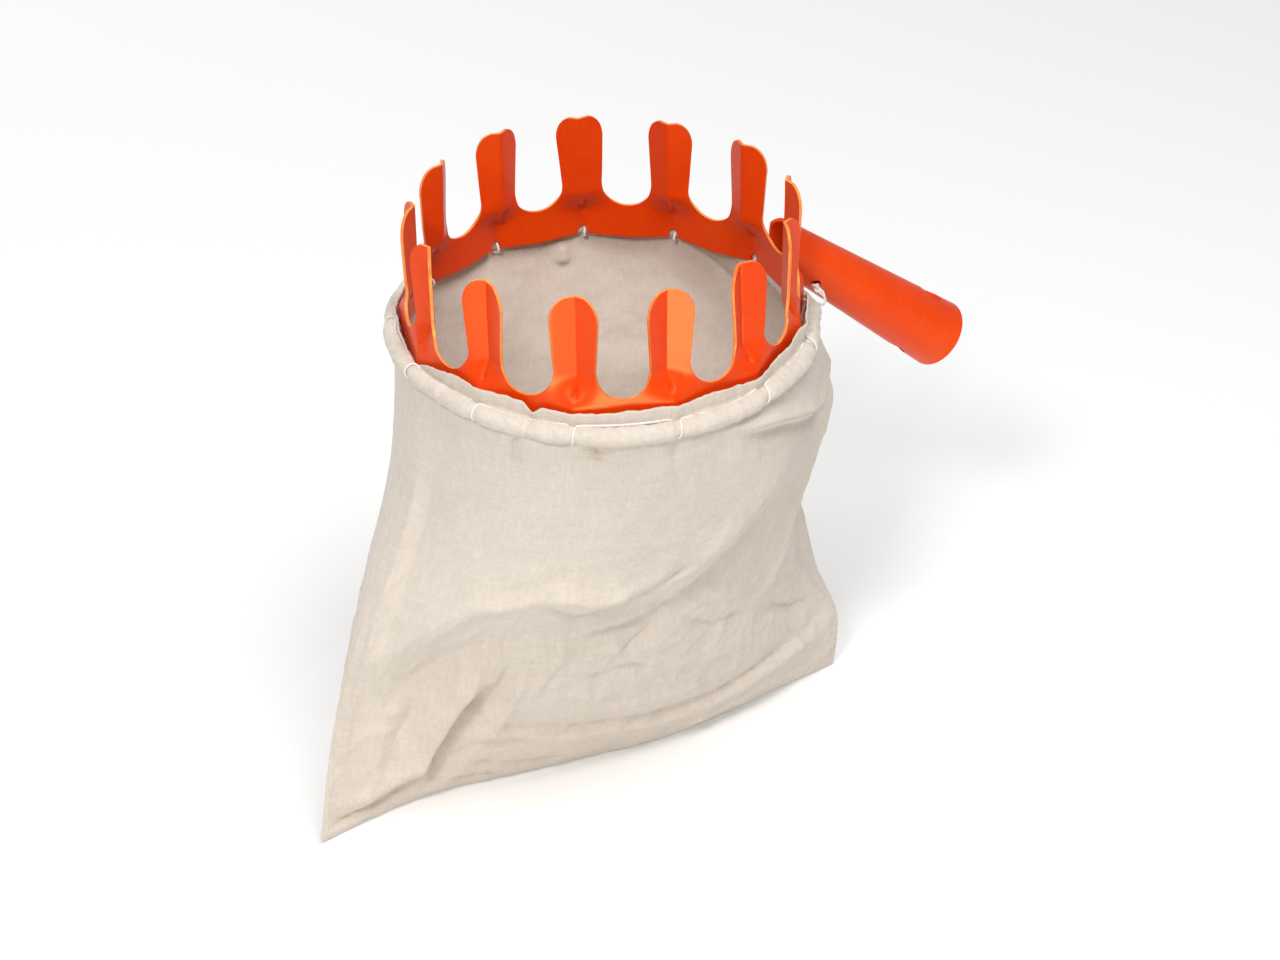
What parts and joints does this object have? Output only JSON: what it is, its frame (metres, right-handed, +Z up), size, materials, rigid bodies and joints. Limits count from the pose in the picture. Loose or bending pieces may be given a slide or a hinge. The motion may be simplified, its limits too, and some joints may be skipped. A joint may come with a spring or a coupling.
{
  "type": "fruit picker basket",
  "caption": "Fruit picking head: a steel crown of fingers over a laced cotton bag, with a tapered socket for a long pole.",
  "frame": {"origin": "centre of the pole socket's mouth, where the pole holds the part", "axes": "+Z up along the crown's axis, +X horizontally from the crown towards the socket's mouth, +Y across"},
  "size_m": [0.2893, 0.1835, 0.2601],
  "materials": {
    "orange_paint": "satin",
    "bag_cotton": "matte",
    "white_cord": "matte",
    "seam_thread": "matte"
  },
  "bodies": {
    "root": {"crown": "orange_paint", "pole_socket": "orange_paint", "socket_weld": "orange_paint", "bag_hem": "bag_cotton", "bag_hem_flap": "bag_cotton", "bag_front": "bag_cotton", "bag_back": "bag_cotton", "bag_seam_left": "seam_thread", "bag_seam_right": "seam_thread", "bag_seam_bottom": "seam_thread", "lacing_cord": "white_cord", "cord_start_knot": "white_cord", "cord_end_knot": "white_cord"}
  },
  "joints": []
}
